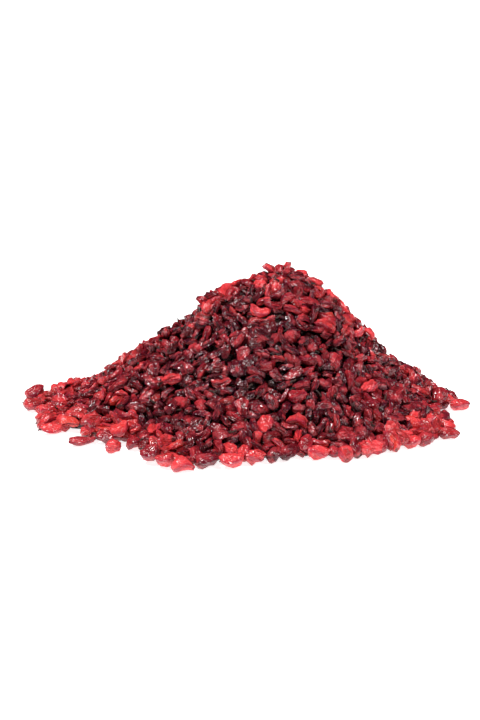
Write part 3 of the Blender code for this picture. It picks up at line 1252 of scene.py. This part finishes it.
class BARBERRY_OT_berries(Operator):
    """Settles the berries over the core and sets each kind out as one piece"""

    bl_idname = "barberry.berries"
    bl_label = "Berries"

    def execute(self, context):
        scene = context.scene
        berry = scene.barberry_berry
        form = heap_form()
        draw = np.random.default_rng(berry.seed)
        shrunken = [0.4] * berry.plump_shapes + [1.0] * (berry.shapes - berry.plump_shapes)
        fine = [
            berry_mesh(f"berry_{number:02d}", draw, berry, shrunken=much)
            for number, much in enumerate(shrunken)
        ]
        plain = [
            berry_mesh(f"plain_berry_{number}", draw, berry, sides=8, rings=6)
            for number in range(6)
        ]
        fine_shapes = shape_collection("berry_shapes", fine)
        plain_shapes = shape_collection("plain_berry_shapes", plain)
        scatter = scattered_berries(draw, form, berry)
        usual = np.array((berry.length, berry.width, berry.thickness))
        kinds = pick_kinds(draw, scatter, form)
        tones = draw.uniform(0.0, 1.0, len(kinds))
        picks = draw.integers(berry.plump_shapes, berry.shapes, len(kinds))
        picks[scatter.plump] = draw.integers(0, berry.plump_shapes, scatter.plump.sum())
        turns = euler_turns(scatter.turn)
        tree = scatter_tree()
        finishes = [skin_finish(kind) for kind in KINDS]
        pieces = []
        for number, kind in enumerate((*KINDS, "buried")):
            buried = kind == "buried"
            chosen = scatter.buried if buried else (kinds == number) & ~scatter.buried
            points = {
                "middle": scatter.middle[chosen],
                "turn": turns[chosen],
                "size": scatter.size[chosen] / usual,
                "shape": picks[chosen] % len(plain) if buried else picks[chosen],
                "tone": tones[chosen],
            }
            shapes = plain_shapes if buried else fine_shapes
            # Painted shade: every buried berry takes the darkest, plum skin.
            finish = finishes[-1] if buried else finishes[number]
            piece = set_out(f"berries_{kind}", tree, shapes, finish, points, scene.collection)
            pieces.append(piece)
        mark_gap_shade(pieces, form)
        for number, piece in enumerate(pieces):
            hand_over(piece)
        self.add_stalks(scene, draw, scatter, tree)
        drop_collection(fine_shapes)
        drop_collection(plain_shapes)
        return {"FINISHED"}

    def add_stalks(self, scene, draw, scatter, tree):
        """A stalk end on every seventh berry that shows, and on some of those listed one by one.
        """
        every, inset = 7, 0.35
        by_hand = np.nonzero(scatter.laid)[0][[berry[-1] for berry in PLACED_BERRIES]]
        shown = np.append(np.arange(0, scene.barberry_berry.top_count, every), by_hand)
        turn = scatter.turn[shown]
        end = scatter.middle[shown] - turn[:, :, 0] * scatter.size[shown, :1] * inset
        turn = turn * np.array((-1.0, -1.0, 1.0))
        meshes = [stalk_mesh(f"stalk_{number}", draw) for number in range(5)]
        shapes = shape_collection("stalk_shapes", meshes)
        points = {
            "middle": end,
            "turn": euler_turns(turn),
            "size": np.ones((len(shown), 3)),
            "shape": draw.integers(0, len(meshes), len(shown)),
            "tone": draw.uniform(0.0, 1.0, len(shown)),
        }
        piece = set_out("stalk_ends", tree, shapes, stalk_finish(), points, scene.collection)
        hand_over(piece)
        drop_collection(shapes)


class BARBERRY_OT_stage(Operator):
    """Sets the white table, the soft light and the camera"""

    bl_idname = "barberry.stage"
    bl_label = "Table, light and camera"

    def execute(self, context):
        scene = context.scene
        setup = scene.barberry_stage
        scene.view_settings.view_transform = "Standard"
        self.add_table(scene, setup)
        self.add_light(scene, setup)
        self.add_camera(scene, setup)
        return {"FINISHED"}

    def add_table(self, scene, setup):
        shape = bmesh.new()
        bmesh.ops.create_grid(shape, x_segments=1, y_segments=1, size=TABLE_HALF)
        bmesh.ops.translate(shape, vec=(0.0, 0.0, -TABLE_DROP), verts=shape.verts[:])
        mesh = mesh_from(shape, "table")
        finish = Finish("white_table")
        finish.set(
            Base_Color=(0.92, 0.92, 0.92, 1.0),
            Roughness=0.7,
            Specular_IOR_Level=0.1,
            Emission_Color=(1.0, 1.0, 1.0, 1.0),
            Emission_Strength=setup.table_glow,
        )
        mesh.materials.append(finish.material)
        table = new_mesh_object("table", mesh, scene.collection)

    def add_light(self, scene, setup):
        world = bpy.data.worlds.new("white_room")
        world.use_nodes = True
        background = world.node_tree.nodes["Background"]
        background.inputs["Color"].default_value = (1.0, 1.0, 1.0, 1.0)
        background.inputs["Strength"].default_value = setup.sky
        scene.world = world
        key = bpy.data.lights.new("key_light", "SUN")
        key.energy = setup.key
        key.angle = setup.key_spread
        fill = bpy.data.lights.new("fill_softbox", "AREA")
        fill.energy = setup.fill
        fill.size = FILL_SIZE
        for light, place in ((key, KEY_PLACE), (fill, FILL_PLACE)):
            obj = bpy.data.objects.new(light.name, light)
            obj.location = place
            obj.rotation_euler = Vector(place).to_track_quat("Z", "Y").to_euler()
            scene.collection.objects.link(obj)

    def add_camera(self, scene, setup):
        data = bpy.data.cameras.new("camera")
        data.lens = data.sensor_width * setup.distance / setup.view_height
        camera = bpy.data.objects.new("camera", data)
        target = Vector(setup.look_at)
        away = Vector((0.0, -math.cos(setup.elevation), math.sin(setup.elevation)))
        camera.location = target + away * setup.distance
        camera.rotation_euler = away.to_track_quat("Z", "Y").to_euler()
        scene.collection.objects.link(camera)
        scene.camera = camera


class BARBERRY_PT_panel(Panel):
    """Shows the settings of the heap, berries, skins and stage, with the buttons that build them
    """

    bl_label = "Dried barberry heap"
    bl_idname = "BARBERRY_PT_panel"
    bl_space_type = "VIEW_3D"
    bl_region_type = "UI"
    bl_category = "Barberries"

    def draw(self, context):
        for title, settings, operators in (
            ("Heap", context.scene.barberry_heap, ("barberry.core",)),
            ("Berries", context.scene.barberry_berry, ("barberry.berries",)),
            ("Skins", context.scene.barberry_skin, ()),
            ("Stage", context.scene.barberry_stage, ("barberry.stage",)),
        ):
            box = self.layout.box()
            box.label(text=title)
            for name in settings.__annotations__:
                box.prop(settings, name)
            for operator in operators:
                box.operator(operator)


CLASSES = (
    HeapShape,
    BerryShape,
    SkinColours,
    StageSetup,
    BARBERRY_OT_core,
    BARBERRY_OT_berries,
    BARBERRY_OT_stage,
    BARBERRY_PT_panel,
)


def register():
    for cls in CLASSES:
        bpy.utils.register_class(cls)
    bpy.types.Scene.barberry_heap = PointerProperty(type=HeapShape)
    bpy.types.Scene.barberry_berry = PointerProperty(type=BerryShape)
    bpy.types.Scene.barberry_skin = PointerProperty(type=SkinColours)
    bpy.types.Scene.barberry_stage = PointerProperty(type=StageSetup)


def unregister():
    for name in ("barberry_heap", "barberry_berry", "barberry_skin", "barberry_stage"):
        delattr(bpy.types.Scene, name)
    for cls in reversed(CLASSES):
        bpy.utils.unregister_class(cls)


def main():
    register()
    bpy.ops.barberry.core()
    bpy.ops.barberry.berries()
    bpy.ops.barberry.stage()


if __name__ == "__main__":
    main()
